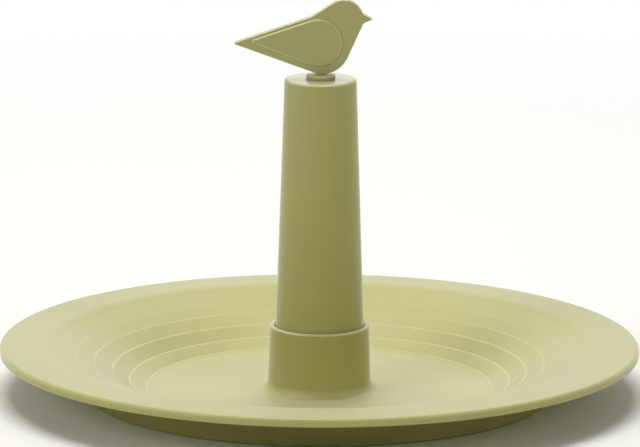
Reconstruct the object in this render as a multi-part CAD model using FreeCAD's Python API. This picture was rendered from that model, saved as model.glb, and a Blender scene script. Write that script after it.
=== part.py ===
"""Gravity-fed bird waterer: ringed dish, lift-out reservoir column and a flat bird on top.

Millimetres, +Z up. The origin is on the ground at the column's axis. The bird looks along +X, and the
water port of the socket is on the +Y side.
"""
import FreeCAD
import Part
import math
import os

Vec = FreeCAD.Vector
UP = Vec(0, 0, 1)
CENTRE = Vec(0, 0, 0)
SAME_POINT = 1e-6

# Dish: floor, ringed wall, lip and turned-down rim
rim_radius = 175.0
rim_height = 26.8
rim_band = 4.6
rim_thickness = 2.0
rim_top_round = 2.4
rim_edge_round = 0.9
band_edge_round = 0.7
dish_wall = 1.9
floor_height = 2.2
floor_edge_radius = 92.4
floor_edge_round = 5.0
lip_inner_radius = 150.5
lip_inner_height = 27.1
lip_inner_round = 16.0

# Narrow level ledges up the wall of the dish, for a bird's feet to grip: radius, height and width of each
grip_rings = (
    (94.9, 2.75, 1.4),
    (104.2, 6.9, 1.2),
    (113.5, 12.2, 1.2),
    (123.3, 17.0, 1.0),
    (133.4, 20.9, 0.7),
    (143.5, 24.5, 0.5),
)
grip_ring_round = 0.9
under_wall_round = 12.0

# Foot ring pushed over a rib under the dish
foot_radius = 127.7
foot_land_depth = 4.1
foot_wall = 2.4
foot_draft = 0.8
foot_edge_round = 0.6
foot_rib_wall = 1.6
foot_rib_depth = 5.0
push_clearance = 0.15

# Socket, set into a stepped opening in the dish's floor
joint_margin = 1.7
joint_step = 3.0
socket_rim_radius = 27.1
socket_foot_radius = 28.3
socket_height = 37.5
socket_bore_radius = 24.6
socket_rim_round = 1.2
bore_foot_round = 1.0
flare_round = 4.5
seat_rib_count = 4
seat_rib_width = 2.4
seat_rib_reach = 2.3
seat_height = 28.0
port_angle = 90.0
port_width = 12.0
port_height = 10.0
valve_post_radius = 3.0
valve_post_height = 5.8

# Reservoir column
column_top_radius = 19.6
column_foot_radius = 24.3
column_top_height = 174.2
column_edge_round = 1.3
column_wall = 2.2
column_roof = 2.6
roof_corner_round = 3.0
mouth_edge_round = 0.4
mouth_depth = 15.0
plug_boss_wall = 2.6
plug_boss_depth = 9.0
boss_root_round = 1.0

# Outlet cap in the column's mouth
cap_flange_thickness = 1.9
cap_flange_margin = 0.4
cap_spigot_wall = 2.3
cap_spigot_length = 14.0
cap_neck_radius = 11.0
cap_neck_wall = 2.0
cap_neck_length = 16.0
cap_plate = 2.0
cap_grip_count = 4
cap_grip_width = 2.4
cap_grip_reach = 4.0
outlet_radius = 4.5
cap_edge_round = 0.6
funnel_round = 2.0

# Quarter-turn lock between the cap and the column
lug_count = 3
lug_height = 2.0
lug_reach = 1.1
lug_sweep = 16.0
lug_level = 6.0
lock_turn = 40.0
lug_slack = 1.0

# Rubber rings
cap_seal_round = 0.9
plug_seal_round = 0.8

# Drop-shut valve in the cap's neck
valve_head_radius = 7.2
valve_head_thickness = 1.6
valve_head_round = 0.4
valve_stem_web = 1.6
valve_travel = 4.0
washer_thickness = 1.2
washer_clearance = 0.2

# Bird plug: disc and stem
plug_disc_radius = 8.0
plug_disc_thickness = 2.2
plug_disc_round = 0.7
plug_bore_radius = 5.0
plug_stem_tail = 2.0
plug_stem_chamfer = 0.8

# Flat bird figure
bird_thickness = 5.0
wing_relief = 1.1
head_x = 12.5
head_above_disc = 30.9
head_radius = 10.6
belly_x = 0.9
belly_radius = 14.9
neck_width = 6.4
neck_height = 0.7
back_x = -5.2
back_above_disc = 32.1
back_round = 14.0
tail_x = -48.1
tail_above_disc = 17.3
tail_tip_round = 0.6
beak_x = 28.3
beak_above_disc = 30.9
beak_root_rise = 3.1
beak_root_drop = 2.4
beak_tip_round = 0.5
beak_root_round = 2.0
wing_x = -1.3
wing_above_disc = 18.0
wing_radius = 13.0
wing_tip_x = -38.6
wing_tip_above_disc = 18.7
bird_edge_round = 0.5
wing_edge_round = 0.5
tenon_width = 5.0
tenon_thickness = 3.0
tenon_depth = 5.0

# Fits
running_clearance = 0.08
seat_clearance = 0.1
seal_clearance = 0.05
tenon_clearance = 0.05
fuse_overlap = 0.5

# Levels that follow from the sizes above
under_floor = floor_height - dish_wall
step_level = floor_height - dish_wall / 2
column_foot_height = seat_height + cap_flange_thickness + 2 * seat_clearance
cap_flange_low = seat_height + seat_clearance
cap_flange_top = cap_flange_low + cap_flange_thickness
cap_neck_low = cap_flange_low - cap_neck_length
disc_low = column_top_height + seat_clearance
disc_top = disc_low + plug_disc_thickness
mouth_top = column_foot_height + mouth_depth


def on_section(radius, height):
    """A point of the half section, in the XZ plane."""
    return Vec(radius, 0, height)


def rounded_edges(corners):
    """Closed loop of lines and tangent arcs through corners (x, z, round); round 0 is a sharp corner."""
    count = len(corners)
    starts, ends, middles = [], [], []
    for i in range(count):
        here = on_section(*corners[i][:2])
        before = (on_section(*corners[i - 1][:2]) - here).normalize()
        after = (on_section(*corners[(i + 1) % count][:2]) - here).normalize()
        radius = corners[i][2]
        half = before.getAngle(after) / 2
        reach = radius / math.tan(half)
        starts.append(here + before * reach)
        ends.append(here + after * reach)
        bisector = (before + after).normalize()
        middles.append(here + bisector * (radius / math.sin(half) - radius))
    edges = []
    for i in range(count):
        if corners[i][2] > 0:
            edges.append(Part.Arc(starts[i], middles[i], ends[i]).toShape())
        following = starts[(i + 1) % count]
        if (following - ends[i]).Length > SAME_POINT:
            edges.append(Part.LineSegment(ends[i], following).toShape())
    return edges


def face_of(corners):
    return Part.Face(Part.Wire(rounded_edges(corners)))


def turned(corners):
    """Solid of revolution about Z of a closed half section."""
    return face_of(corners).revolve(CENTRE, UP, 360)


def offset_corner(before, here, after, distance):
    """Corner of the line before-here-after moved to its right by distance, as (x, z)."""
    a = (on_section(*here) - on_section(*before)).normalize()
    b = (on_section(*after) - on_section(*here)).normalize()
    right_a = Vec(a.z, 0, -a.x)
    right_b = Vec(b.z, 0, -b.x)
    mitre = (right_a + right_b).normalize()
    moved = on_section(*here) + mitre * (distance / mitre.dot(right_a))
    return moved.x, moved.z


def height_on(path, radius):
    """Height of a polyline (radius, height) at a radius."""
    for (r0, z0), (r1, z1) in zip(path, path[1:]):
        if r0 <= radius <= r1:
            return z0 + (z1 - z0) * (radius - r0) / (r1 - r0)
    return path[-1][1]


def block(x0, x1, y_width, z0, z1):
    """Box along +X, centred on Y."""
    return Part.makeBox(x1 - x0, y_width, z1 - z0, Vec(x0, -y_width / 2, z0))


def spun(shape, angle):
    """Copy of a shape turned about the axis, angle in degrees from +X."""
    copy = shape.copy()
    copy.rotate(CENTRE, UP, angle)
    return copy


def spread(shape, count, start=0.0):
    return [spun(shape, start + i * 360.0 / count) for i in range(count)]


def sector(r0, r1, z0, z1, start, sweep):
    """Part of a ring between two radii and two levels, over sweep degrees from start."""
    section = face_of([(r0, z0, 0), (r1, z0, 0), (r1, z1, 0), (r0, z1, 0)])
    return spun(section.revolve(CENTRE, UP, sweep), start)


def tangent_point(tip, centre, radius, side):
    """Point where a line from tip touches a circle; side +1 is left of the way from tip to centre."""
    way = centre - tip
    lean = math.acos(radius / way.Length)
    back = math.atan2(-way.z, -way.x)
    angle = back - side * lean
    return centre + Vec(math.cos(angle), 0, math.sin(angle)) * radius


def on_circle(centre, radius, angle):
    return centre + Vec(math.cos(angle), 0, math.sin(angle)) * radius


def arc_between(centre, radius, start, end):
    """Arc over the shorter way from start to end, both on the circle."""
    middle = ((start - centre) + (end - centre)).normalize()
    return Part.Arc(start, centre + middle * radius, end).toShape()


def line(start, end):
    return Part.LineSegment(start, end).toShape()


def upper_line_of_dish():
    """Top surface of the dish from its middle to the rim, without its ledges and rounds."""
    return [
        (0.0, floor_height),
        (floor_edge_radius, floor_height),
        *(ring[:2] for ring in grip_rings),
        (lip_inner_radius, lip_inner_height),
        (rim_radius, rim_height),
    ]


def foot_rib_inner():
    """Inner radius of the rib that the foot ring is pushed over."""
    return foot_radius - foot_draft - foot_wall - push_clearance - foot_rib_wall


def foot_top():
    """Level of the foot ring's upper edge, below the land under the dish's wall."""
    return height_on(upper_line_of_dish(), foot_rib_inner()) - foot_land_depth


def grip_ledges():
    """Corners of the ledges from the rim inwards."""
    corners = []
    for radius, height, width in reversed(grip_rings):
        corners.append((radius + width / 2, height, grip_ring_round))
        corners.append((radius - width / 2, height, grip_ring_round))
    return corners


def joint_radius():
    """Upper radius of the stepped opening in the floor, just outside the socket's flare."""
    return socket_foot_radius + flare_round + joint_margin


def make_dish():
    top = upper_line_of_dish()
    lip, rim = top[-2:]
    under = []
    for before, here, after in zip(top, top[1:], top[2:]):
        under.append((*offset_corner(before, here, after, dish_wall), under_wall_round))
    band_inner = rim_radius - rim_thickness
    band_low = rim_height - rim_band
    lip_slope = (rim[1] - lip[1]) / (rim[0] - lip[0])
    under_rim = under[-1][1] + lip_slope * (band_inner - under[-1][0])
    opening = joint_radius()
    section = face_of([
        (opening - joint_step, under_floor, 0),
        *under,
        (band_inner, under_rim, rim_edge_round),
        (band_inner, band_low, band_edge_round),
        (rim_radius, band_low, rim_edge_round),
        (rim_radius, rim_height, rim_top_round),
        (*lip, lip_inner_round),
        *grip_ledges(),
        (floor_edge_radius, floor_height, floor_edge_round),
        (opening, floor_height, 0),
        (opening, step_level, 0),
        (opening - joint_step, step_level, 0),
    ])
    # Land and rib under the wall for the foot ring
    rib_inner = foot_rib_inner()
    rib_outer = rib_inner + foot_rib_wall
    rib_low = foot_top() - foot_rib_depth
    land_outer = foot_radius - foot_draft
    inside_wall = dish_wall / 2
    land = face_of([
        (rib_inner, rib_low, 0),
        (rib_outer, rib_low, 0),
        (rib_outer, foot_top(), 0),
        (land_outer, foot_top(), 0),
        (land_outer, height_on(top, land_outer) - inside_wall, 0),
        (rib_inner, height_on(top, rib_inner) - inside_wall, 0),
    ])
    section = section.fuse(land).removeSplitter()
    return section.revolve(CENTRE, UP, 360)


def make_socket():
    flange = joint_radius() - push_clearance
    body = turned([
        (0, under_floor, 0),
        (flange - joint_step, under_floor, 0),
        (flange - joint_step, step_level, 0),
        (flange, step_level, 0),
        (flange, floor_height, 0),
        (socket_foot_radius, floor_height, flare_round),
        (socket_rim_radius, socket_height, socket_rim_round),
        (socket_bore_radius, socket_height, socket_rim_round),
        (socket_bore_radius, floor_height, bore_foot_round),
        (0, floor_height, 0),
    ])
    added = []
    # Ribs in the bore that carry the cap's flange, and the post that opens the valve
    rib = block(socket_bore_radius - seat_rib_reach, socket_bore_radius + fuse_overlap, seat_rib_width,
                floor_height - fuse_overlap, seat_height)
    added += spread(rib, seat_rib_count, 180.0 / seat_rib_count)
    added.append(Part.makeCylinder(valve_post_radius, valve_post_height + fuse_overlap,
                                   Vec(0, 0, floor_height - fuse_overlap)))
    body = body.fuse(added)
    # Arched water port through the back at floor level
    arch = port_width / 2
    port_start = socket_bore_radius - seat_rib_reach / 2
    port_end = joint_radius()
    spring_level = floor_height + port_height - arch
    port = block(port_start, port_end, port_width, floor_height, spring_level)
    vault = Part.makeCylinder(arch, port_end - port_start, Vec(port_start, 0, spring_level), Vec(1, 0, 0))
    port = port.fuse(vault)
    return body.cut(spun(port, port_angle)).removeSplitter()


def make_foot_ring():
    top_outer = foot_radius - foot_draft
    inner = top_outer - foot_wall
    return turned([
        (inner, 0, foot_edge_round),
        (foot_radius, 0, foot_edge_round),
        (top_outer, foot_top(), 0),
        (inner, foot_top(), 0),
    ])


def column_radius(height):
    """Outer radius of the tapered column at a height."""
    share = (height - column_foot_height) / (column_top_height - column_foot_height)
    return column_foot_radius + (column_top_radius - column_foot_radius) * share


def mouth_radius():
    return column_radius(mouth_top) - column_wall


def make_reservoir():
    roof = column_top_height - column_roof
    boss_radius = plug_bore_radius + plug_boss_wall
    body = turned([
        (plug_bore_radius, column_top_height, 0),
        (column_top_radius, column_top_height, column_edge_round),
        (column_foot_radius, column_foot_height, mouth_edge_round),
        (mouth_radius(), column_foot_height, 0),
        (mouth_radius(), mouth_top, 0),
        (column_radius(roof) - column_wall, roof, roof_corner_round),
        (boss_radius, roof, boss_root_round),
        (boss_radius, roof - plug_boss_depth, 0),
        (plug_bore_radius, roof - plug_boss_depth, 0),
    ])
    # L-shaped slots for the cap's lugs: an open way up, then a run along the lock's turn
    low = column_foot_height + lug_level - seat_clearance
    high = column_foot_height + lug_level + lug_height + seat_clearance
    inner = mouth_radius() - fuse_overlap
    outer = mouth_radius() + lug_reach + running_clearance
    wide = lug_sweep + 2 * lug_slack
    run = sector(inner, outer, low, high, -wide / 2, wide + lock_turn)
    entry = sector(inner, outer, column_foot_height - fuse_overlap, high, lock_turn - wide / 2, wide)
    slot = run.fuse(entry)
    return body.cut(spread(slot, lug_count)).removeSplitter()


def make_outlet_cap():
    spigot = mouth_radius() - running_clearance
    spigot_inner = spigot - cap_spigot_wall
    spigot_top = cap_flange_top + cap_spigot_length
    flange = socket_bore_radius - cap_flange_margin - running_clearance
    groove_middle = spigot_top - 2 * cap_seal_round
    groove_radius = mouth_radius() - seal_clearance - 2 * cap_seal_round - seal_clearance
    groove_half = cap_seal_round + seal_clearance
    neck_bore = cap_neck_radius - cap_neck_wall
    body = turned([
        (outlet_radius, cap_neck_low, 0),
        (cap_neck_radius, cap_neck_low, cap_edge_round),
        (cap_neck_radius, cap_flange_low, 0),
        (flange, cap_flange_low, cap_edge_round),
        (flange, cap_flange_top, cap_edge_round),
        (spigot, cap_flange_top, 0),
        (spigot, groove_middle - groove_half, 0),
        (groove_radius, groove_middle - groove_half, 0),
        (groove_radius, groove_middle + groove_half, 0),
        (spigot, groove_middle + groove_half, 0),
        (spigot, spigot_top, 0),
        (spigot_inner, spigot_top, 0),
        (spigot_inner, cap_flange_top, funnel_round),
        (neck_bore, cap_flange_top, 0),
        (neck_bore, cap_neck_low + cap_plate, 0),
        (outlet_radius, cap_neck_low + cap_plate, 0),
    ])
    low = column_foot_height + lug_level
    lug = sector(spigot - fuse_overlap, mouth_radius() + lug_reach, low, low + lug_height,
                 -lug_sweep / 2, lug_sweep)
    grip = block(cap_neck_radius - fuse_overlap, cap_neck_radius + cap_grip_reach, cap_grip_width,
                 cap_neck_low + cap_plate, cap_flange_low + fuse_overlap)
    return body.fuse(spread(lug, lug_count) + spread(grip, cap_grip_count)).removeSplitter()


def make_cap_seal():
    spigot_top = cap_flange_top + cap_spigot_length
    middle = Vec(0, 0, spigot_top - 2 * cap_seal_round)
    return Part.makeTorus(mouth_radius() - seal_clearance - cap_seal_round, cap_seal_round, middle)


def open_washer_low():
    """Underside of the washer with the valve held open by the post."""
    return cap_neck_low + cap_plate + valve_travel + seal_clearance


def make_valve_plunger():
    head_low = open_washer_low() + washer_thickness
    head = turned([
        (0, head_low, 0),
        (valve_head_radius, head_low, 0),
        (valve_head_radius, head_low + valve_head_thickness, valve_head_round),
        (0, head_low + valve_head_thickness, 0),
    ])
    stem_low = floor_height + valve_post_height + seat_clearance
    stem_radius = outlet_radius - running_clearance
    length = head_low - stem_low + fuse_overlap
    web = block(-stem_radius, stem_radius, valve_stem_web, stem_low, stem_low + length)
    cross = web.fuse(spun(web, 90))
    stem = cross.common(Part.makeCylinder(stem_radius, length, Vec(0, 0, stem_low)))
    return head.fuse(stem).removeSplitter()


def make_valve_washer():
    low = open_washer_low()
    inner = outlet_radius + washer_clearance
    ring = Part.makeCylinder(valve_head_radius, washer_thickness, Vec(0, 0, low))
    return ring.cut(Part.makeCylinder(inner, washer_thickness, Vec(0, 0, low)))


def plug_seal_level():
    """Middle of the stem's ring, halfway down the boss under the roof."""
    return column_top_height - column_roof - plug_boss_depth / 2


def make_bird_plug():
    stem = plug_bore_radius - running_clearance
    stem_low = column_top_height - column_roof - plug_boss_depth - plug_stem_tail
    groove = plug_bore_radius - 2 * seal_clearance - 2 * plug_seal_round
    half = plug_seal_round + seal_clearance
    middle = plug_seal_level()
    body = turned([
        (0, stem_low, 0),
        (stem - plug_stem_chamfer, stem_low, 0),
        (stem, stem_low + plug_stem_chamfer, 0),
        (stem, middle - half, 0),
        (groove, middle - half, 0),
        (groove, middle + half, 0),
        (stem, middle + half, 0),
        (stem, disc_low, 0),
        (plug_disc_radius, disc_low, plug_disc_round),
        (plug_disc_radius, disc_top, plug_disc_round),
        (0, disc_top, 0),
    ])
    half_width = tenon_width / 2 + tenon_clearance
    pocket = block(-half_width, half_width, tenon_thickness + 2 * tenon_clearance,
                   disc_top - tenon_depth - tenon_clearance, disc_top + fuse_overlap)
    return body.cut(pocket)


def make_plug_seal():
    ring = plug_bore_radius - seal_clearance - plug_seal_round
    return Part.makeTorus(ring, plug_seal_round, Vec(0, 0, plug_seal_level()))


def head_middle():
    return on_section(head_x, disc_top + head_above_disc)


def bird_corners():
    """Sharp corners of the bird's side outline."""
    head = head_middle()
    return {
        "tail": on_section(tail_x, disc_top + tail_above_disc),
        "back": on_section(back_x, disc_top + back_above_disc),
        "beak": on_section(beak_x, disc_top + beak_above_disc),
        "root_high": on_circle(head, head_radius, math.asin(beak_root_rise / head_radius)),
        "root_low": on_circle(head, head_radius, -math.asin(beak_root_drop / head_radius)),
    }


def bird_outline():
    """Side outline: straight tail, round head with a short beak, straight breast and round belly."""
    corners = bird_corners()
    tail, back, beak = corners["tail"], corners["back"], corners["beak"]
    root_high, root_low = corners["root_high"], corners["root_low"]
    head = head_middle()
    belly = on_section(belly_x, disc_top + neck_height + belly_radius)
    nape = tangent_point(back, head, head_radius, 1)
    # The breast is the common tangent of the head and belly circles on the beak's side
    way = belly - head
    lean = math.acos((head_radius - belly_radius) / way.Length)
    facing = math.atan2(way.z, way.x) + lean
    throat = on_circle(head, head_radius, facing)
    breast = on_circle(belly, belly_radius, facing)
    vent = tangent_point(tail, belly, belly_radius, -1)
    return Part.Wire([
        line(tail, back),
        line(back, nape),
        arc_between(head, head_radius, nape, root_high),
        line(root_high, beak),
        line(beak, root_low),
        arc_between(head, head_radius, root_low, throat),
        line(throat, breast),
        arc_between(belly, belly_radius, breast, vent),
        line(vent, tail),
    ])


def wing_tip():
    return on_section(wing_tip_x, disc_top + wing_tip_above_disc)


def wing_outline():
    """Teardrop: a circle and its two tangents from the wing tip."""
    middle = on_section(wing_x, disc_top + wing_above_disc)
    tip = wing_tip()
    upper = tangent_point(tip, middle, wing_radius, 1)
    lower = tangent_point(tip, middle, wing_radius, -1)
    front = middle + (middle - tip).normalize() * wing_radius
    return Part.Wire([
        line(tip, upper),
        Part.Arc(upper, front, lower).toShape(),
        line(lower, tip),
    ])


def plate(outline, thickness):
    """Flat plate of an outline, centred on the plane Y = 0."""
    face = Part.Face(outline)
    face.translate(Vec(0, -thickness / 2, 0))
    return face.extrude(Vec(0, thickness, 0))


def rounded_corner(body, corner, radius):
    """Plate with the edge across it at a corner of its outline rounded."""
    across = [e for e in body.Edges if abs(e.CenterOfMass.y) < SAME_POINT
              and (e.CenterOfMass - corner).Length < SAME_POINT]
    return body.makeFillet(radius, across)


def rounded_rims(body, thickness, radius):
    """Plate with the edges round both of its flat faces rounded."""
    rims = [e for e in body.Edges if abs(abs(e.CenterOfMass.y) - thickness / 2) < SAME_POINT]
    return body.makeFillet(radius, rims)


def make_bird_figure():
    rounds = {
        "tail": tail_tip_round,
        "back": back_round,
        "beak": beak_tip_round,
        "root_high": beak_root_round,
        "root_low": beak_root_round,
    }
    body = plate(bird_outline(), bird_thickness)
    for name, corner in bird_corners().items():
        body = rounded_corner(body, corner, rounds[name])
    body = rounded_rims(body, bird_thickness, bird_edge_round)
    wing_thickness = bird_thickness + 2 * wing_relief
    wings = plate(wing_outline(), wing_thickness)
    wings = rounded_corner(wings, wing_tip(), tail_tip_round)
    wings = rounded_rims(wings, wing_thickness, wing_edge_round)
    inside_belly = disc_top + neck_height + belly_radius / 2
    neck_thickness = bird_thickness - 2 * bird_edge_round
    neck = block(-neck_width / 2, neck_width / 2, neck_thickness, disc_top, inside_belly)
    tenon = block(-tenon_width / 2, tenon_width / 2, tenon_thickness, disc_top - tenon_depth, inside_belly)
    return body.fuse([wings, neck, tenon]).removeSplitter()


PIECES = {
    "dish": make_dish,
    "socket": make_socket,
    "foot_ring": make_foot_ring,
    "reservoir": make_reservoir,
    "outlet_cap": make_outlet_cap,
    "cap_seal": make_cap_seal,
    "valve_plunger": make_valve_plunger,
    "valve_washer": make_valve_washer,
    "bird_plug": make_bird_plug,
    "plug_seal": make_plug_seal,
    "bird_figure": make_bird_figure,
}

os.makedirs("parts", exist_ok=True)
for name, make in PIECES.items():
    shape = make()
    solids = shape.Solids
    box = shape.BoundBox
    print(name, "solids", len(solids), "valid", shape.isValid(), "volume", round(shape.Volume, 1),
          "z", round(box.ZMin, 2), round(box.ZMax, 2), "x", round(box.XMin, 2), round(box.XMax, 2))
    if len(solids) == 1:
        shape = solids[0]
    shape.exportStep("parts/" + name + ".step")
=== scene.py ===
"""Bird waterer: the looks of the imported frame.

Sizes are millimetres until a mesh is made, apart from those of the floor and the lights, which are metres.
+Z is up, the bird looks along +X, the camera stands on the -Y side and the water port of the socket is on
the +Y side.
"""
import math

import bmesh
import bpy
import numpy as np
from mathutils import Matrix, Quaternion, Vector


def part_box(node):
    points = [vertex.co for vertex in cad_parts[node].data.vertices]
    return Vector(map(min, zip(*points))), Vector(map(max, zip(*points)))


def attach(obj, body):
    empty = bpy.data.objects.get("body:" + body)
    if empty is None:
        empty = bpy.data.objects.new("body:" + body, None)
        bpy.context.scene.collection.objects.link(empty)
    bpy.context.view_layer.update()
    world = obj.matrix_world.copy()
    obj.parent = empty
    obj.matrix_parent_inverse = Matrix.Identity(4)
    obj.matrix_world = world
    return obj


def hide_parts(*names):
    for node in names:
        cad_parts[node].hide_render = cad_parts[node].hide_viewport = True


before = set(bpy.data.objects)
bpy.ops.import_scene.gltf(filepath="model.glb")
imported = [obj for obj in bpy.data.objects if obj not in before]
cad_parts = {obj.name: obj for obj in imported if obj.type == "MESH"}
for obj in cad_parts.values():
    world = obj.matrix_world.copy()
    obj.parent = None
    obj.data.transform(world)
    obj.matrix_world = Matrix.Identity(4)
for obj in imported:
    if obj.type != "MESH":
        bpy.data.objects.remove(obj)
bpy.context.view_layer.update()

MM = 0.001


def node_box(node):
    """Lowest and highest corner of a CAD node, in millimetres."""
    low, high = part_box(node)
    return np.array(low) / MM, np.array(high) / MM


# Levels and radii that the frame gives
dish_low, dish_high = node_box("dish")
socket_high = node_box("socket")[1]
foot_high = node_box("foot_ring")[1]
column_low, column_high = node_box("reservoir")
cap_low, cap_high = node_box("outlet_cap")
cap_seal_low, cap_seal_high = node_box("cap_seal")
valve_low, valve_high = node_box("valve_plunger")
washer_low, washer_high = node_box("valve_washer")
plug_low, plug_high = node_box("bird_plug")
plug_seal_low, plug_seal_high = node_box("plug_seal")
rim_radius = dish_high[0]
socket_height = socket_high[2]
under_floor = dish_low[2]
foot_radius = foot_high[0]
foot_height = foot_high[2]
column_foot_radius = column_high[0]
column_foot_height = column_low[2]
column_top_height = column_high[2]
disc_top = plug_high[2]

# Dish
dish_wall = 1.9
floor_height = under_floor + dish_wall
rim_height = 26.8
rim_band = 4.6
rim_thickness = 2.0
rim_top_round = 2.4
rim_edge_round = 0.9
band_edge_round = 0.7
floor_edge = (92.4, floor_height)
floor_edge_round = 5.0
lip_inner = (150.5, 27.1)
lip_inner_round = 16.0
under_wall_round = 12.0

# Narrow level ledges up the wall: radius, height, width and edge round of each
grip_rings = [
    (94.9, 2.75, 1.4, 0.9),
    (104.2, 6.9, 1.2, 0.9),
    (113.5, 12.2, 1.0, 1.0),
    (123.3, 17.0, 0.8, 1.6),
    (133.2, 20.9, 0.55, 1.5),
    (143.5, 24.4, 0.35, 1.0),
]

# Foot ring and the rib that it is pushed over
foot_wall = 2.4
foot_draft = 0.8
foot_edge_round = 0.6
foot_rib_wall = 1.6
foot_rib_depth = 5.0
push_clearance = 0.15

# Socket, its port, ribs and post
socket_rim_radius = 27.1
socket_foot_radius = 28.3
socket_bore_radius = 24.6
socket_rim_round = 1.2
bore_foot_round = 1.0
flare_round = 4.5
port_half_width = 6.0
port_height = 10.0
seat_rib_count = 4
seat_rib_width = 2.4
seat_rib_reach = 2.3
seat_height = 28.0
valve_post_radius = 3.0
valve_post_height = 5.8
post_edge_round = 0.3

# Reservoir column
column_top_radius = 19.6
column_edge_round = 1.3
column_wall = 2.2
column_roof = 2.6
roof_corner_round = 3.0
mouth_depth = 15.0
mouth_edge_round = 0.4
plug_bore_radius = 5.0
plug_boss_wall = 2.6
plug_boss_depth = 9.0
boss_root_round = 1.0

# Outlet cap and its lock
cap_flange_thickness = 1.9
cap_spigot_wall = 2.3
cap_neck_radius = 11.0
cap_neck_wall = 2.0
cap_plate = 2.0
cap_grip_count = 4
cap_grip_width = 2.4
cap_grip_reach = 4.0
cap_edge_round = 0.6
outlet_radius = 4.5
lug_count = 3
lug_height = 2.0
lug_reach = 1.1
lug_sweep = 16.0
lug_level = 6.0

# Valve and plug
valve_head_thickness = 1.6
valve_head_round = 0.4
valve_stem_web = 1.6
plug_disc_thickness = 2.2
plug_disc_round = 0.7
plug_stem_chamfer = 0.8
running_clearance = 0.08
seat_clearance = 0.1
seal_clearance = 0.05

# Flat bird, measured from the top of its disc
bird_thickness = 5.0
bird_edge_round = 0.45
head_middle = np.array([12.5, disc_top + 30.9])
head_radius = 10.6
neck_width = 6.4
neck_height = 0.7
belly_radius = 14.9
belly_middle = np.array([0.9, disc_top + neck_height + belly_radius])
back_corner = np.array([-5.2, disc_top + 32.1])
back_round = 14.0
tail_tip = np.array([-48.1, disc_top + 17.3])
tail_tip_round = 0.6
beak_tip = np.array([28.3, disc_top + 30.9])
beak_tip_round = 0.5
beak_root_round = 2.0
beak_root_rise = 3.1
beak_root_drop = 2.4
wing_middle = np.array([-1.3, disc_top + 18.0])
wing_radius = 13.0
wing_tip = np.array([-39.5, disc_top + 18.7])
wing_tip_round = 1.1
wing_relief = 1.1
wing_edge_round = 1.0
wing_root_depth = 1.0

# How finely the surfaces are cut, and what counts as sharp, as one point (in metres) or as one level
ARC_STEP = math.radians(7.5)
TURN_COLUMNS = 192
PORT_COLUMNS = 20
BLEND_COLUMNS = 22
REST_COLUMNS = 200
BLEND_END = math.radians(40)
RIM_STEPS = 6
FLARE_STEPS = 9
QUAD_CORNERS = 4
SHARP_ANGLE = math.radians(38)
SAME_POINT = 1e-6
SAME_LEVEL = 0.01

# Painted highlight on edges: the convex bend, per millimetre, from which an edge is drawn paler and at
# which it is fully so, and the distances from the axis between which the painted highlight fades out
HIGHLIGHT_BEND_START = 0.3
HIGHLIGHT_BEND_FULL = 0.9
HIGHLIGHT_FULL_REACH = 106.0
HIGHLIGHT_END_REACH = 128.0

# Sockets of the colour mix node, whose names it has more than once
MIX_SHARE = 0
MIX_FROM = 6
MIX_TO = 7
MIX_RESULT = 2


def unit(vector):
    return vector / np.hypot(*vector)


def rounded_line(corners, closed=False):
    """Line through corners (x, y, round), each swapped for the arc that touches both of its sides."""
    corners = np.array(corners, float)
    count = len(corners)
    runs = []
    for i, (x, y, radius) in enumerate(corners):
        here = np.array([x, y])
        at_end = not closed and i in (0, count - 1)
        if radius == 0 or at_end:
            runs.append(here[None])
            continue
        before = unit(corners[i - 1, :2] - here)
        after = unit(corners[(i + 1) % count, :2] - here)
        half = math.acos(np.clip(before @ after, -1, 1)) / 2
        middle = here + unit(before + after) * radius / math.sin(half)
        start = here + before * radius / math.tan(half) - middle
        turn = math.pi - 2 * half
        side = np.sign(before[1] * after[0] - before[0] * after[1])
        steps = max(2, math.ceil(turn / ARC_STEP))
        angle = math.atan2(start[1], start[0]) + side * np.linspace(0, turn, steps + 1)
        runs.append(middle + radius * np.stack([np.cos(angle), np.sin(angle)], axis=1))
    return np.concatenate(runs)


def offset_corner(before, here, after, distance):
    """Corner of the line before-here-after moved to its right by distance."""
    a = unit(np.subtract(here, before))
    b = unit(np.subtract(after, here))
    right_a = np.array([a[1], -a[0]])
    mitre = unit(right_a + np.array([b[1], -b[0]]))
    return np.array(here) + mitre * distance / (mitre @ right_a)


def arc(middle, radius, start, end):
    """Points on a circle from one angle to another, both ends included."""
    steps = max(2, math.ceil(abs(end - start) / ARC_STEP))
    angle = np.linspace(start, end, steps + 1)
    return middle + radius * np.stack([np.cos(angle), np.sin(angle)], axis=1)


def grid_quads(rows, columns, closed_rows=False, closed_columns=True):
    """Index quads of a grid of rows x columns vertices, row by row."""
    i = np.arange(rows if closed_rows else rows - 1)[:, None]
    j = np.arange(columns if closed_columns else columns - 1)[None]
    i_next = (i + 1) % rows
    j_next = (j + 1) % columns
    corners = (i * columns + j, i * columns + j_next, i_next * columns + j_next, i_next * columns + j)
    return np.stack(np.broadcast_arrays(*corners), axis=-1)


def turned(profile, closed=True):
    """Surface of revolution: each profile point (radius, height) goes round Z at that height."""
    angle = np.linspace(0, 2 * math.pi, TURN_COLUMNS, endpoint=False)
    radius, height = profile[:, :1], profile[:, 1:]
    points = np.stack([radius * np.cos(angle), radius * np.sin(angle), height + 0 * angle], axis=-1)
    quads = grid_quads(len(profile), TURN_COLUMNS, closed_rows=closed)
    return points.reshape(-1, 3), [quads.reshape(-1, 4)]


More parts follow.
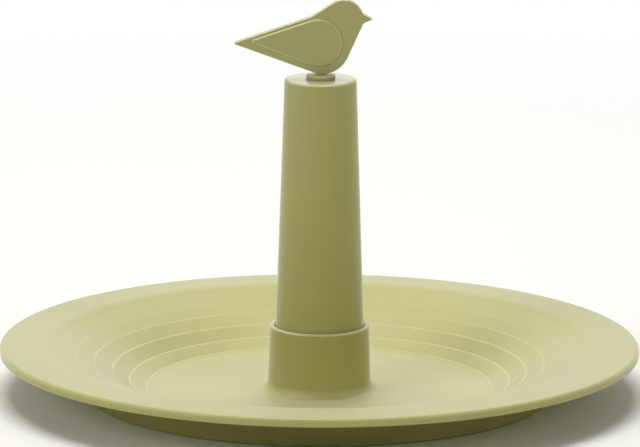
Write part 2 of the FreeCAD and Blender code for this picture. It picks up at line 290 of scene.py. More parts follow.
def slab(outline, low, high, edge_round, axes=(0, 1, 2)):
    """Flat plate: a section (inset, level) with a quarter circle at each rim is carried round the outline.

    The inset runs along the mitre of the two sides at each outline point. axes says which of x, y and z
    the outline's two coordinates and the level become.
    """
    before = outline - np.roll(outline, 1, axis=0)
    before /= np.hypot(*before.T)[:, None]
    after = np.roll(before, -1, axis=0)
    inward_a = np.stack([-before[:, 1], before[:, 0]], axis=1)
    inward_b = np.stack([-after[:, 1], after[:, 0]], axis=1)
    mitre = (inward_a + inward_b) / (1 + (inward_a * inward_b).sum(axis=1))[:, None]
    quarter = np.linspace(0, math.pi / 2, RIM_STEPS)
    inset = edge_round * (1 - np.sin(quarter))
    lift = edge_round * (1 - np.cos(quarter))
    insets = np.concatenate([inset, inset[::-1]])[:, None, None]
    levels = np.concatenate([low + lift, high - lift[::-1]])
    rings = outline + insets * mitre
    count = len(outline)
    points = np.empty((len(levels), count, 3))
    points[..., axes[0]] = rings[..., 0]
    points[..., axes[1]] = rings[..., 1]
    points[..., axes[2]] = levels[:, None]
    quads = grid_quads(len(levels), count).reshape(-1, 4)
    lower_face = np.arange(count)[None]
    upper_face = lower_face + (len(levels) - 1) * count
    return points.reshape(-1, 3), [quads, lower_face, upper_face]


def spun(shell, angle):
    """Shell turned about Z by an angle in radians."""
    points, faces = shell
    c, s = math.cos(angle), math.sin(angle)
    return points @ np.array([[c, s, 0], [-s, c, 0], [0, 0, 1]]), faces


def spread(shell, count, start=0.0):
    """Copies of a shell, evenly round Z."""
    return [spun(shell, start + i * 2 * math.pi / count) for i in range(count)]


def rectangle(x0, x1, width, corner_round):
    """Outline along X, centred on Y."""
    half = width / 2
    corners = [(x0, -half), (x1, -half), (x1, half), (x0, half)]
    return rounded_line([(*corner, corner_round) for corner in corners], closed=True)


def mesh_values(items, name, width, kind=float):
    """One property of all vertices, edges, loops or faces as an array, width numbers each."""
    values = np.empty(width * len(items), kind)
    items.foreach_get(name, values)
    return values.reshape(-1, width) if width > 1 else values


def paint_edge_highlights(mesh):
    """Stores a painted highlight share for each vertex, from 0 to 1: how far its colour is drawn paler.

    The bend along an edge is the change of the vertex normal along it over its length, positive where the
    surface is convex. A face takes the greatest bend of its edges, and a vertex the least of its faces, so
    that a flat face beside a rounded edge stays unpainted. Faces of more than four corners are flat.
    The painted highlight is full near the axis and fades out over the outer rings, so the rim's edges get
    none.
    """
    places = mesh_values(mesh.vertices, "co", 3) / MM
    normals = mesh_values(mesh.vertex_normals, "vector", 3)
    first, second = mesh_values(mesh.edges, "vertices", 2, int).T
    way = places[second] - places[first]
    bend = ((normals[second] - normals[first]) * way).sum(axis=1) / (way ** 2).sum(axis=1)
    corner_count = mesh_values(mesh.polygons, "loop_total", 1, int)
    loop_face = np.repeat(np.arange(len(corner_count)), corner_count)
    face_bend = np.zeros(len(corner_count))
    np.maximum.at(face_bend, loop_face, bend[mesh_values(mesh.loops, "edge_index", 1, int)])
    face_bend[corner_count > QUAD_CORNERS] = 0
    least = np.full(len(places), HIGHLIGHT_BEND_FULL)
    np.minimum.at(least, mesh_values(mesh.loops, "vertex_index", 1, int), face_bend[loop_face])
    edge_share = np.clip((least - HIGHLIGHT_BEND_START) / (HIGHLIGHT_BEND_FULL - HIGHLIGHT_BEND_START), 0, 1)
    reach = np.hypot(places[:, 0], places[:, 1])
    reach_share = np.clip((HIGHLIGHT_END_REACH - reach) / (HIGHLIGHT_END_REACH - HIGHLIGHT_FULL_REACH), 0, 1)
    painted_highlight = mesh.attributes.new("painted_highlight", "FLOAT", "POINT")
    painted_highlight.data.foreach_set("value", edge_share * reach_share)


def add_piece(name, shells, body, nodes, material):
    """Joins shells into one mesh, closes its poles, turns its faces outwards and hands it to the frame."""
    points = np.concatenate([shell[0] for shell in shells]) * MM
    faces = []
    start = 0
    for shell_points, shell_faces in shells:
        for group in shell_faces:
            faces += (group + start).tolist()
        start += len(shell_points)
    mesh = bpy.data.meshes.new(name)
    mesh.from_pydata(points.tolist(), [], faces)
    work = bmesh.new()
    work.from_mesh(mesh)
    bmesh.ops.remove_doubles(work, verts=work.verts, dist=SAME_POINT)
    bmesh.ops.recalc_face_normals(work, faces=work.faces)
    work.to_mesh(mesh)
    work.free()
    mesh.shade_smooth()
    mesh.set_sharp_from_angle(angle=SHARP_ANGLE)
    mesh.materials.append(material)
    # Painted highlight: stores how far each convex edge is drawn paler
    paint_edge_highlights(mesh)
    piece = bpy.data.objects.new(name, mesh)
    bpy.context.scene.collection.objects.link(piece)
    even = piece.modifiers.new("even_shading", "WEIGHTED_NORMAL")
    even.keep_sharp = True
    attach(piece, body)
    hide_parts(*nodes)
    return piece


def outer_dish_line():
    """From the socket's flare over the wall, lip and rim, and back under the dish to its middle."""
    rings = [ring[:2] for ring in grip_rings]
    top = [(0, floor_height), floor_edge, *rings, lip_inner, (rim_radius, rim_height)]
    ledges = []
    for radius, level, width, edge_round in grip_rings:
        ledges.append((radius - width / 2, level, edge_round))
        ledges.append((radius + width / 2, level, edge_round))
    under = [offset_corner(*top[i:i + 3], dish_wall) for i in range(len(top) - 2)]
    band_inner = rim_radius - rim_thickness
    band_low = rim_height - rim_band
    lip_slope = (rim_height - lip_inner[1]) / (rim_radius - lip_inner[0])
    under_rim = under[-1][1] + lip_slope * (band_inner - under[-1][0])
    land_outer = foot_radius - foot_draft
    rib_outer = land_outer - foot_wall - push_clearance
    rib_inner = rib_outer - foot_rib_wall
    rib_low = foot_height - foot_rib_depth
    under_r, under_z = np.transpose(under)
    land_top = np.interp(land_outer, under_r, under_z)
    rib_top = np.interp(rib_inner, under_r, under_z)
    under_lip = [(*corner, under_wall_round) for corner in under if corner[0] > land_outer]
    under_floor_wall = [(*corner, under_wall_round) for corner in under if corner[0] < rib_inner]
    return rounded_line([
        (flare_middle()[0], floor_height, 0),
        (*floor_edge, floor_edge_round),
        *ledges,
        (*lip_inner, lip_inner_round),
        (rim_radius, rim_height, rim_top_round),
        (rim_radius, band_low, rim_edge_round),
        (band_inner, band_low, band_edge_round),
        (band_inner, under_rim, rim_edge_round),
        *under_lip[::-1],
        (land_outer, land_top, 0),
        (land_outer, foot_height, 0),
        (rib_outer, foot_height, 0),
        (rib_outer, rib_low, 0),
        (rib_inner, rib_low, 0),
        (rib_inner, rib_top, 0),
        *under_floor_wall[::-1],
        (0, under_floor, 0),
    ])


def socket_slope():
    return (socket_foot_radius - socket_rim_radius) / (socket_height - floor_height)


def flare_middle():
    """Centre of the flare's circle, which touches the floor and the socket's outer wall."""
    level = floor_height + flare_round
    wall = socket_foot_radius - socket_slope() * flare_round
    return wall + flare_round * math.hypot(1, socket_slope()), level


def socket_radius(height):
    """Outer radius of the socket: the flare's circle up to where it touches the wall, then the wall."""
    middle_r, middle_z = flare_middle()
    touch = middle_z - flare_round * math.sin(math.atan(socket_slope()))
    drop = np.clip(middle_z - height, 0, flare_round)
    flare = middle_r - np.sqrt(flare_round ** 2 - drop ** 2)
    wall = socket_foot_radius - socket_slope() * (height - floor_height)
    return np.where(height < touch, flare, wall)


def bore_radius(height):
    """Radius of the socket's bore with the round at its foot."""
    drop = np.clip(bore_foot_round - (height - floor_height), 0, bore_foot_round)
    return socket_bore_radius - bore_foot_round + np.sqrt(bore_foot_round ** 2 - drop ** 2)


def dish_shell():
    """The dish with its socket and port as one grid of section rows and columns round the axis.

    Rows run from the top of the valve post over the socket and the dish to the underside's middle. Columns
    of the port run at a constant x, blend into even angles on both sides of it, and have their socket rows
    lifted onto the arch, by less and less up to the settled level. Rows below the port's spring line leave
    the port's columns open, and ruled quads between bore and outside make its roof, sides and floor.
    """
    spring = floor_height + port_height - port_half_width
    settled = floor_height + 2 * port_height
    middle_r, middle_z = flare_middle()
    spring_lean = math.acos((middle_z - spring) / flare_round)
    low_heights = middle_z - flare_round * np.cos(np.linspace(0, spring_lean, FLARE_STEPS))
    upper_leans = np.linspace(spring_lean, math.pi / 2, FLARE_STEPS)[1:]
    flare_heights = middle_z - flare_round * np.cos(upper_leans)
    side_heights = np.concatenate([flare_heights, [settled]])
    post_top = floor_height + valve_post_height
    post = rounded_line([
        (0, post_top, 0),
        (valve_post_radius, post_top, post_edge_round),
        (valve_post_radius, floor_height, 0),
        (bore_radius(floor_height), floor_height, 0),
    ])
    rim = rounded_line([
        (socket_bore_radius, settled, 0),
        (socket_bore_radius, socket_height, socket_rim_round),
        (socket_rim_radius, socket_height, socket_rim_round),
        (socket_radius(settled), settled, 0),
    ])
    sections = [
        post[:-1],
        np.stack([bore_radius(low_heights), low_heights], axis=1),
        np.stack([bore_radius(side_heights), side_heights], axis=1)[:-1],
        rim,
        np.stack([socket_radius(side_heights), side_heights], axis=1)[-2::-1],
        np.stack([socket_radius(low_heights), low_heights], axis=1)[::-1],
        outer_dish_line()[1:],
    ]
    starts = np.cumsum([0] + [len(section) for section in sections])
    _, bore_foot, bore_side, rim_start, _, outer_spring, dish_start, _ = starts
    bore_spring = bore_side - 1
    outer_foot = dish_start - 1
    profile = np.concatenate(sections)
    rows = len(profile)

    port_x = port_half_width * np.sin(np.linspace(-math.pi / 2, math.pi / 2, PORT_COLUMNS + 1))
    arch = spring + np.sqrt(np.clip(port_half_width ** 2 - port_x ** 2, 0, None))
    radius = np.repeat(profile[:, :1], PORT_COLUMNS + 1, axis=1)
    height = np.repeat(profile[:, 1:], PORT_COLUMNS + 1, axis=1)
    lifted = np.zeros(rows, bool)
    lifted[bore_spring:outer_spring + 1] = True
    lifted &= profile[:, 1] < settled
    inside = np.arange(rows) < rim_start
    share = (settled - height) / (settled - spring)
    raised = height + share * (arch - spring)
    height = np.where(lifted[:, None], raised, height)
    outer = lifted & ~inside
    radius = np.where(outer[:, None], socket_radius(height), radius)

    reach = np.clip(radius, bore_radius(floor_height), middle_r)
    port_angle = np.arcsin(port_x / reach)
    edge = port_angle[:, -1:]
    blend = np.linspace(0, 1, BLEND_COLUMNS + 1)[1:]
    right_angle = edge + (BLEND_END - edge) * blend
    far = np.linspace(BLEND_END, 2 * math.pi - BLEND_END, REST_COLUMNS + 1)[1:-1]
    far_angle = np.repeat(far[None], rows, axis=0)
    angle = np.concatenate([port_angle, right_angle, far_angle, -right_angle[:, ::-1]], axis=1)
    columns = angle.shape[1]
    plain = columns - PORT_COLUMNS - 1
    radius = np.concatenate([radius, np.repeat(profile[:, :1], plain, axis=1)], axis=1)
    height = np.concatenate([height, np.repeat(profile[:, 1:], plain, axis=1)], axis=1)
    points = np.stack([radius * np.sin(angle), radius * np.cos(angle), height], axis=-1)

    quads = grid_quads(rows, columns)
    closed = np.ones(quads.shape[:2], bool)
    closed[bore_foot:bore_spring, :PORT_COLUMNS] = False
    closed[outer_spring:outer_foot, :PORT_COLUMNS] = False

    def ruled(row_a, column_a, row_b, column_b):
        """Quads between two runs of vertices, point by point."""
        a = row_a * columns + column_a
        b = row_b * columns + column_b
        return np.stack([a[:-1], a[1:], b[1:], b[:-1]], axis=1)

    across = np.arange(PORT_COLUMNS + 1)
    up_bore = np.arange(bore_foot, bore_spring + 1)
    up_outer = np.arange(outer_foot, outer_spring - 1, -1)
    port_quads = [
        ruled(bore_spring, across, outer_spring, across),
        ruled(bore_foot, across, outer_foot, across),
        ruled(up_bore, 0, up_outer, 0),
        ruled(up_bore, PORT_COLUMNS, up_outer, PORT_COLUMNS),
    ]
    return points.reshape(-1, 3), [quads[closed]] + port_quads


def make_dish(material):
    """Dish and socket as one skin, and the ribs in the socket that the column stands on."""
    rib_inner = socket_bore_radius - seat_rib_reach
    rib_outer = socket_bore_radius + socket_rim_round / 2
    rib_outline = rectangle(rib_inner, rib_outer, seat_rib_width, post_edge_round)
    rib = slab(rib_outline, floor_height - post_edge_round, seat_height, post_edge_round)
    ribs = spread(rib, seat_rib_count, math.pi / seat_rib_count)
    shells = [dish_shell()] + ribs
    add_piece("dish_moulding", shells, "base", ["dish", "socket"], material)


def make_foot_ring(material):
    """Drafted ring, its lower edges rounded."""
    top_outer = foot_radius - foot_draft
    inner = top_outer - foot_wall
    profile = rounded_line([
        (inner, 0, foot_edge_round),
        (foot_radius, 0, foot_edge_round),
        (top_outer, foot_height, 0),
        (inner, foot_height, 0),
    ], closed=True)
    add_piece("foot_ring_moulding", [turned(profile)], "base", ["foot_ring"], material)


def column_radius(height):
    """Outer radius of the tapered column at a height."""
    share = (height - column_foot_height) / (column_top_height - column_foot_height)
    return column_foot_radius + (column_top_radius - column_foot_radius) * share


def mouth_radius():
    return column_radius(column_foot_height + mouth_depth) - column_wall


def make_reservoir(material, polished):
    """Tapered hollow column, polished on top, with a bored boss in its roof and a groove for the lugs."""
    roof = column_top_height - column_roof
    boss = plug_bore_radius + plug_boss_wall
    mouth = mouth_radius()
    groove = mouth + lug_reach + running_clearance
    groove_low = column_foot_height + lug_level - seat_clearance
    groove_high = groove_low + lug_height + 2 * seat_clearance
    profile = rounded_line([
        (plug_bore_radius, column_top_height, 0),
        (column_top_radius, column_top_height, column_edge_round),
        (column_foot_radius, column_foot_height, mouth_edge_round),
        (mouth, column_foot_height, mouth_edge_round),
        (mouth, groove_low, 0),
        (groove, groove_low, 0),
        (groove, groove_high, 0),
        (mouth, groove_high, 0),
        (mouth, column_foot_height + mouth_depth, 0),
        (column_radius(roof) - column_wall, roof, roof_corner_round),
        (boss, roof, boss_root_round),
        (boss, roof - plug_boss_depth, mouth_edge_round),
        (plug_bore_radius, roof - plug_boss_depth, 0),
    ], closed=True)
    shells = [turned(profile)]
    piece = add_piece("reservoir_column", shells, "column", ["reservoir"], material)
    piece.data.materials.append(polished)
    for face in piece.data.polygons:
        face.material_index = int(face.center.z > (column_top_height - SAME_LEVEL) * MM)


def seal_ring(low, high):
    """Torus that fills a node's box."""
    thick = (high[2] - low[2]) / 2
    middle = np.array([high[0] - thick, low[2] + thick])
    return turned(arc(middle, thick, 0, 2 * math.pi)[:-1])


def make_outlet_cap(material):
    """Turned cap with its flange, spigot, seal groove and neck, four grips on the neck and three lugs."""
    flange_low = seat_height + seat_clearance
    flange_top = flange_low + cap_flange_thickness
    spigot = mouth_radius() - running_clearance
    spigot_inner = spigot - cap_spigot_wall
    groove = cap_seal_high[0] - (cap_seal_high[2] - cap_seal_low[2]) - seal_clearance
    groove_low = cap_seal_low[2] - seal_clearance
    groove_high = cap_seal_high[2] + seal_clearance
    neck_bore = cap_neck_radius - cap_neck_wall
    neck_low = cap_low[2]
    profile = rounded_line([
        (outlet_radius, neck_low, valve_head_round),
        (cap_neck_radius, neck_low, cap_edge_round),
        (cap_neck_radius, flange_low, cap_edge_round),
        (cap_high[0], flange_low, cap_edge_round),
        (cap_high[0], flange_top, cap_edge_round),
        (spigot, flange_top, 0),
        (spigot, groove_low, 0),
        (groove, groove_low, 0),
        (groove, groove_high, 0),
        (spigot, groove_high, 0),
        (spigot, cap_high[2], valve_head_round),
        (spigot_inner, cap_high[2], valve_head_round),
        (spigot_inner, flange_top, 2 * cap_edge_round),
        (neck_bore, flange_top, cap_edge_round),
        (neck_bore, neck_low + cap_plate, 0),
        (outlet_radius, neck_low + cap_plate, 0),
    ], closed=True)
    grip_root = cap_neck_radius - cap_edge_round
    grip_tip = cap_neck_radius + cap_grip_reach
    grip_outline = rectangle(grip_root, grip_tip, cap_grip_width, cap_edge_round)
    grip = slab(grip_outline, neck_low + cap_plate, flange_low + cap_edge_round, valve_head_round)
    half_sweep = math.radians(lug_sweep) / 2
    centre = np.zeros(2)
    lug_outline = np.concatenate([
        arc(centre, mouth_radius() + lug_reach, -half_sweep, half_sweep),
        arc(centre, spigot - cap_edge_round, half_sweep, -half_sweep),
    ])
    lug_low = column_foot_height + lug_level
    lug = slab(lug_outline, lug_low, lug_low + lug_height, valve_head_round / 2)
    shells = [turned(profile)] + spread(grip, cap_grip_count) + spread(lug, lug_count)
    add_piece("outlet_cap_moulding", shells, "cap", ["outlet_cap"], material)


def make_valve(plastic, rubber):
    """Turned valve head on a stem of cross section, and the rubber washer under the head."""
    head_low = valve_high[2] - valve_head_thickness
    head = turned(rounded_line([
        (0, head_low, 0),
        (valve_high[0], head_low, 0),
        (valve_high[0], valve_high[2], valve_head_round),
        (0, valve_high[2], 0),
    ]), closed=False)
    stem_radius = outlet_radius - running_clearance
    web = rectangle(-stem_radius, stem_radius, valve_stem_web, valve_head_round)
    stem = slab(web, valve_low[2], head_low + valve_head_round, valve_head_round)
    shells = [head, stem, spun(stem, math.pi / 2)]
    add_piece("valve_moulding", shells, "valve", ["valve_plunger"], plastic)
    washer = rounded_line([
        (outlet_radius, washer_low[2], valve_head_round / 2),
        (washer_high[0], washer_low[2], valve_head_round / 2),
        (washer_high[0], washer_high[2], valve_head_round / 2),
        (outlet_radius, washer_high[2], valve_head_round / 2),
    ], closed=True)
    add_piece("valve_rubber", [turned(washer)], "valve", ["valve_washer"], rubber)


def make_bird_plug(material):
    """Disc under the bird on a grooved stem."""
    stem = plug_bore_radius - running_clearance
    disc_low = disc_top - plug_disc_thickness
    groove = plug_seal_high[0] - (plug_seal_high[2] - plug_seal_low[2]) - seal_clearance
    profile = rounded_line([
        (0, plug_low[2], 0),
        (stem - plug_stem_chamfer, plug_low[2], 0),
        (stem, plug_low[2] + plug_stem_chamfer, 0),
        (stem, plug_seal_low[2] - seal_clearance, 0),
        (groove, plug_seal_low[2] - seal_clearance, 0),
        (groove, plug_seal_high[2] + seal_clearance, 0),
        (stem, plug_seal_high[2] + seal_clearance, 0),
        (stem, disc_low, 0),
        (plug_high[0], disc_low, plug_disc_round),
        (plug_high[0], disc_top, plug_disc_round),
        (0, disc_top, 0),
    ])
    shells = [turned(profile, closed=False)]
    add_piece("bird_plug_moulding", shells, "bird", ["bird_plug"], material)


def tangent_angle(tip, middle, radius, side):
    """Angle on a circle where a line from tip touches it; side +1 is left of the way to its middle."""
    way = middle - tip
    lean = math.acos(radius / np.hypot(*way))
    return math.atan2(-way[1], -way[0]) - side * lean


def bird_outline():
    """Side outline: straight tail, round head with a short beak, straight breast and round belly.

    Head and belly are circles, nape, breast and vent are their tangents, and the corners get their rounds.
    """
    nape = tangent_angle(back_corner, head_middle, head_radius, 1)
    root_high = math.asin(beak_root_rise / head_radius)
    root_low = -math.asin(beak_root_drop / head_radius)
    way = belly_middle - head_middle
    breast = math.atan2(way[1], way[0]) + math.acos((head_radius - belly_radius) / np.hypot(*way))
    vent = tangent_angle(tail_tip, belly_middle, belly_radius, -1)
    nape, breast, vent = (angle % (2 * math.pi) for angle in (nape, breast, vent))
    crown = arc(head_middle, head_radius, nape, root_high)
    throat = arc(head_middle, head_radius, root_low, breast - 2 * math.pi)
    belly = arc(belly_middle, belly_radius, breast - 2 * math.pi, vent - 2 * math.pi)
    corners = [(*tail_tip, tail_tip_round), (*back_corner, back_round)]
    corners += [(*point, 0) for point in crown[:-1]]
    corners.append((*crown[-1], beak_root_round))
    corners.append((*beak_tip, beak_tip_round))
    corners.append((*throat[0], beak_root_round))
    corners += [(*point, 0) for point in throat[1:]]
    corners += [(*point, 0) for point in belly]
    return rounded_line(corners, closed=True)[::-1]


def wing_outline():
    """Teardrop: a circle and its two tangents from the wing tip."""
    upper = tangent_angle(wing_tip, wing_middle, wing_radius, 1) % (2 * math.pi)
    lower = tangent_angle(wing_tip, wing_middle, wing_radius, -1) % (2 * math.pi) - 2 * math.pi
    front = arc(wing_middle, wing_radius, lower, upper)
    return rounded_line([(*wing_tip, wing_tip_round)] + [(*point, 0) for point in front], closed=True)


def make_bird(material):
    """Flat plate with rounded rims and a raised wing on both faces, on a short neck."""
    upright = (0, 2, 1)
    half = bird_thickness / 2
    body = slab(bird_outline(), -half, half, bird_edge_round, upright)
    root = half - wing_root_depth
    wing = wing_outline()
    back_wing = slab(wing, root, half + wing_relief, wing_edge_round, upright)
    front_wing = slab(wing, -half - wing_relief, -root, wing_edge_round, upright)
    neck_thickness = bird_thickness - 2 * bird_edge_round
    neck_section = rectangle(-neck_width / 2, neck_width / 2, neck_thickness, bird_edge_round)
    neck = slab(neck_section, disc_top, belly_middle[1], post_edge_round)
    shells = [body, back_wing, front_wing, neck]
    add_piece("bird_plate", shells, "bird", ["bird_figure"], material)


WHITE = "#FFFFFF"


def linear(hex_colour):
    """sRGB hex colour as linear RGBA."""
    channels = np.array([int(hex_colour[i:i + 2], 16) for i in (1, 3, 5)]) / 255
    low = channels / 12.92
    high = ((channels + 0.055) / 1.055) ** 2.4
    return (*np.where(channels <= 0.04045, low, high), 1.0)


def add_node(tree, kind, settings=None, inputs=None, links=None):
    """Adds a node, sets its properties and sockets, and links outputs (node, name) into its sockets."""
    node = tree.nodes.new(kind)
    for name, value in (settings or {}).items():
        setattr(node, name, value)
    for name, value in (inputs or {}).items():
        node.inputs[name].default_value = value
    for name, (source, output) in (links or {}).items():
        tree.links.new(source.outputs[output], node.inputs[name])
    return node


def new_material(name):
    material = bpy.data.materials.new(name)
    material.use_nodes = True
    tree = material.node_tree
    return material, tree, tree.nodes["Principled BSDF"]


def per_metre(millimetres):
    """Texture scale of a pattern whose marks are that far apart."""
    return 1 / (millimetres * MM)


def moulded_plastic(name, light, dark, painted_highlight, roughness, bloom):
    """Satin moulding: faint drift of tint and gloss from the melt's flow, the mould's grain, and bloom.

    The bloom is the pale film of additives on the surface, which shows at a low angle. Convex edges get a
    painted highlight, a paler colour in patches. The real grain is about 0.1 mm and is drawn at 0.9 mm, so
    that it can show.
    """
    drift_size = 60.0
    gloss_size = 14.0
    grain_size = 0.9
    grain_depth = 0.02
    grain_strength = 0.25
    drift_detail = 3.0
    drift_roughness = 0.55
    fine_detail = 2.0
    gloss_spread = 0.04
    bloom_roughness = 0.4
    polypropylene_ior = 1.49
    material, tree, shader = new_material(name)
    place = add_node(tree, "ShaderNodeTexCoord")
    drift = add_node(
        tree, "ShaderNodeTexNoise",
        inputs={"Scale": per_metre(drift_size), "Detail": drift_detail, "Roughness": drift_roughness},
        links={"Vector": (place, "Object")})
    tint = add_node(
        tree, "ShaderNodeMix", {"data_type": "RGBA"},
        {MIX_FROM: linear(dark), MIX_TO: linear(light)}, {MIX_SHARE: (drift, "Fac")})
    # Painted highlight: the stored edge share, broken into patches, mixes the tint towards the paler
    # highlight colour
    edges = add_node(tree, "ShaderNodeAttribute", {"attribute_name": "painted_highlight"})
    gloss = add_node(
        tree, "ShaderNodeTexNoise",
        inputs={"Scale": per_metre(gloss_size), "Detail": fine_detail},
        links={"Vector": (place, "Object")})
    highlight_patches = add_node(
        tree, "ShaderNodeMath", {"operation": "MULTIPLY"},
        links={0: (edges, "Fac"), 1: (gloss, "Fac")})
    highlighted_tint = add_node(
        tree, "ShaderNodeMix", {"data_type": "RGBA"},
        {MIX_TO: linear(painted_highlight)}, {MIX_SHARE: (highlight_patches, "Value"), MIX_FROM: (tint, MIX_RESULT)})
    gloss_range = add_node(
        tree, "ShaderNodeMapRange",
        inputs={"To Min": roughness - gloss_spread, "To Max": roughness + gloss_spread},
        links={"Value": (gloss, "Fac")})
    grain = add_node(
        tree, "ShaderNodeTexNoise",
        inputs={"Scale": per_metre(grain_size), "Detail": fine_detail},
        links={"Vector": (place, "Object")})
    bump = add_node(
        tree, "ShaderNodeBump",
        inputs={"Strength": grain_strength, "Distance": grain_depth * MM},
        links={"Height": (grain, "Fac")})
    shader.inputs["IOR"].default_value = polypropylene_ior
    shader.inputs["Sheen Weight"].default_value = bloom
    shader.inputs["Sheen Roughness"].default_value = bloom_roughness
    tree.links.new(highlighted_tint.outputs[MIX_RESULT], shader.inputs["Base Color"])
    tree.links.new(gloss_range.outputs["Result"], shader.inputs["Roughness"])
    tree.links.new(bump.outputs["Normal"], shader.inputs["Normal"])
    return material


def seal_rubber():
    """Moulded EPDM rubber: near black, dull, with a grey bloom in soft patches."""
    black = "#1B1B1A"
    grey = "#2E2E2B"
    bloom_size = 3.0
    bloom_detail = 3.0
    bloom_depth = 0.03
    bloom_strength = 0.3
    rubber_ior = 1.52
    rubber_roughness = 0.7
    material, tree, shader = new_material("epdm_rubber_moulded")
    place = add_node(tree, "ShaderNodeTexCoord")
    bloom = add_node(
        tree, "ShaderNodeTexNoise",
        inputs={"Scale": per_metre(bloom_size), "Detail": bloom_detail},
        links={"Vector": (place, "Object")})
    tint = add_node(
        tree, "ShaderNodeMix", {"data_type": "RGBA"},
        {MIX_FROM: linear(black), MIX_TO: linear(grey)}, {MIX_SHARE: (bloom, "Fac")})
    bump = add_node(
        tree, "ShaderNodeBump",
        inputs={"Strength": bloom_strength, "Distance": bloom_depth * MM},
        links={"Height": (bloom, "Fac")})
    shader.inputs["IOR"].default_value = rubber_ior
    shader.inputs["Roughness"].default_value = rubber_roughness
    tree.links.new(tint.outputs[MIX_RESULT], shader.inputs["Base Color"])
    tree.links.new(bump.outputs["Normal"], shader.inputs["Normal"])
    return material


# Mouldings: light and dark colour, painted edge highlight colour, roughness and bloom
OLIVE = ("#AAA763", "#A5A25D", "#DCDAAE", 0.5, 0.65)
OLIVE_POLISHED = ("#AAA763", "#A5A25D", "#DCDAAE", 0.25, 0.65)
# The bird's olive is drawn paler than the dish's: painted light, as if the bird were lit more from the
# front
OLIVE_PAINTED_LIGHTER = ("#ADAA6F", "#A9A66A", "#DCDAAE", 0.5, 0.65)
# The foot ring's olive is drawn darker than the dish's: painted shade for the shadow under the dish's
# overhang
OLIVE_PAINTED_SHADE = ("#9C9950", "#96934B", "#ADAA66", 0.5, 0.0)
NATURAL = ("#CDCCC0", "#C6C5B8", "#D8D8CE", 0.45, 0.1)


def make_object():
    """All pieces and their materials."""
    olive = moulded_plastic("polypropylene_olive_satin", *OLIVE)
    polished = moulded_plastic("polypropylene_olive_polished", *OLIVE_POLISHED)
    # Bird material: the dish's olive drawn paler, as painted light
    pale = moulded_plastic("polypropylene_olive_satin_painted_lighter", *OLIVE_PAINTED_LIGHTER)
    # Foot ring material: the dish's olive drawn darker, as painted shade
    shaded_olive = moulded_plastic("polypropylene_olive_painted_shade", *OLIVE_PAINTED_SHADE)
    natural = moulded_plastic("polypropylene_natural_satin", *NATURAL)
    rubber = seal_rubber()
    make_dish(olive)
    make_foot_ring(shaded_olive)
    make_reservoir(olive, polished)
    make_outlet_cap(natural)
    cap_ring = [seal_ring(cap_seal_low, cap_seal_high)]
    add_piece("cap_rubber_ring", cap_ring, "cap", ["cap_seal"], rubber)
    make_valve(natural, rubber)
    make_bird_plug(olive)
    plug_ring = [seal_ring(plug_seal_low, plug_seal_high)]
    add_piece("plug_rubber_ring", plug_ring, "bird", ["plug_seal"], rubber)
    make_bird(pale)


# Camera as fitted to the rim, column and bird of the photograph; its clip distance is in metres
camera_elevation = math.radians(12.13)
camera_roll = math.radians(0.27)
camera_distance = 3548.0
camera_target_height = 93.7
focal_pixels = 6500.0
photo_width = 640.0
sensor_width = 36.0
clip_distance = 100.0


def make_camera():
    """Camera in front of the object, aimed at a point on the axis and rolled."""
    data = bpy.data.cameras.new("photo_camera")
    data.sensor_width = sensor_width
    data.lens = focal_pixels * sensor_width / photo_width
    data.clip_end = clip_distance
    camera = bpy.data.objects.new("photo_camera", data)
    back = Vector((0, -math.cos(camera_elevation), math.sin(camera_elevation)))
    target = Vector((0, 0, camera_target_height * MM))
    camera.location = target + back * camera_distance * MM
    aim = (-back).to_track_quat("-Z", "Y")
    camera.rotation_euler = (aim @ Quaternion((0, 0, 1), camera_roll)).to_euler()
    bpy.context.scene.collection.objects.link(camera)
    bpy.context.scene.camera = camera


def seen_ray(tree):
    """Node that is 1 for rays from the camera, a reflection or a clear material, and 0 for others."""
    path = add_node(tree, "ShaderNodeLightPath")
    gloss = add_node(
        tree, "ShaderNodeMath", {"operation": "MAXIMUM"},
        links={0: (path, "Is Camera Ray"), 1: (path, "Is Glossy Ray")})
    return add_node(
        tree, "ShaderNodeMath", {"operation": "MAXIMUM"},
        links={0: (gloss, "Value"), 1: (path, "Is Transmission Ray")})


def make_floor():
    """Plain pale floor that fills the view from any side and is seen as white away from the object."""
    half = 30.0
    drop = 0.0002
    fade_start = 0.3
    fade_end = 1.2
    paint = "#E6E5E0"
    paint_roughness = 0.9
    mesh = bpy.data.meshes.new("floor")
    corners = [(-half, -half, -drop), (half, -half, -drop), (half, half, -drop), (-half, half, -drop)]
    mesh.from_pydata(corners, [], [(0, 1, 2, 3)])
    material, tree, shader = new_material("floor_matte_paint")
    shader.inputs["Base Color"].default_value = linear(paint)
    shader.inputs["Roughness"].default_value = paint_roughness
    place = add_node(tree, "ShaderNodeTexCoord")
    away = add_node(tree, "ShaderNodeVectorMath", {"operation": "LENGTH"}, links={0: (place, "Object")})
    fade = add_node(
        tree, "ShaderNodeMapRange", {"interpolation_type": "SMOOTHSTEP"},
        {"From Min": fade_start, "From Max": fade_end}, {"Value": (away, "Value")})
    share = add_node(
        tree, "ShaderNodeMath", {"operation": "MULTIPLY"},
        links={0: (fade, "Result"), 1: (seen_ray(tree), "Value")})
    white = add_node(tree, "ShaderNodeEmission", inputs={"Color": linear(WHITE), "Strength": 1.0})
    mix = add_node(
        tree, "ShaderNodeMixShader",
        links={0: (share, "Value"), 1: (shader, "BSDF"), 2: (white, "Emission")})
    tree.links.new(mix.outputs["Shader"], tree.nodes["Material Output"].inputs["Surface"])
    mesh.materials.append(material)
    floor = bpy.data.objects.new("floor", mesh)
    bpy.context.scene.collection.objects.link(floor)


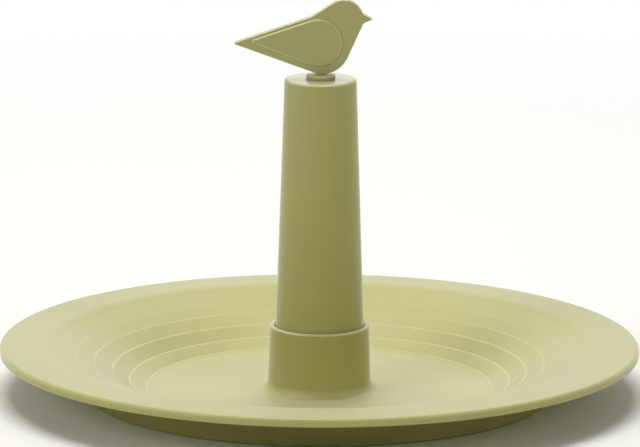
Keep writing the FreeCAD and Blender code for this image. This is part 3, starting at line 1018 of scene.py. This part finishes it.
def add_softbox(name, place, width, depth, power):
    """Area light that faces the object."""
    data = bpy.data.lights.new(name, "AREA")
    data.shape = "RECTANGLE"
    data.size = width
    data.size_y = depth
    data.energy = power
    lamp = bpy.data.objects.new(name, data)
    lamp.location = place
    lamp.rotation_euler = (Vector(LIGHT_AIM) - Vector(place)).to_track_quat("-Z", "Y").to_euler()
    bpy.context.scene.collection.objects.link(lamp)


# Softboxes: name, place, width, depth and power in watts; all aim at the middle of the object
SOFTBOXES = [
    ("overhead_softbox", (-0.1, 0.38, 1.75), 1.2, 0.6, 26.0),
    ("back_softbox", (0, 2.4, 1.3), 3.0, 1.5, 15.0),
    ("left_fill", (-2.2, -1.5, 1.3), 1.2, 1.2, 24.0),
    ("right_fill", (2.2, -1.5, 1.3), 1.2, 1.2, 13.0),
]
LIGHT_AIM = (0, 0, 0.08)


def make_light():
    """The softboxes, and a room that is dim low down, brighter above and white where it is seen."""
    room_tint = "#F2F2F0"
    room_low = 0.04
    room_high = 0.4
    for box in SOFTBOXES:
        add_softbox(*box)
    world = bpy.data.worlds.new("pale_room")
    world.use_nodes = True
    bpy.context.scene.world = world
    tree = world.node_tree
    output = tree.nodes["World Output"]
    room = tree.nodes["Background"]
    room.inputs["Color"].default_value = linear(room_tint)
    place = add_node(tree, "ShaderNodeTexCoord")
    way = add_node(tree, "ShaderNodeSeparateXYZ", links={"Vector": (place, "Generated")})
    level = add_node(
        tree, "ShaderNodeMapRange",
        inputs={"To Min": room_low, "To Max": room_high},
        links={"Value": (way, "Z")})
    tree.links.new(level.outputs["Result"], room.inputs["Strength"])
    seen = add_node(tree, "ShaderNodeBackground", inputs={"Color": linear(WHITE), "Strength": 1.0})
    mix = add_node(
        tree, "ShaderNodeMixShader",
        links={0: (seen_ray(tree), "Value"), 1: (room, "Background"), 2: (seen, "Background")})
    tree.links.new(mix.outputs["Shader"], output.inputs["Surface"])


make_object()
make_camera()
make_floor()
make_light()
bpy.context.scene.view_settings.view_transform = "Standard"
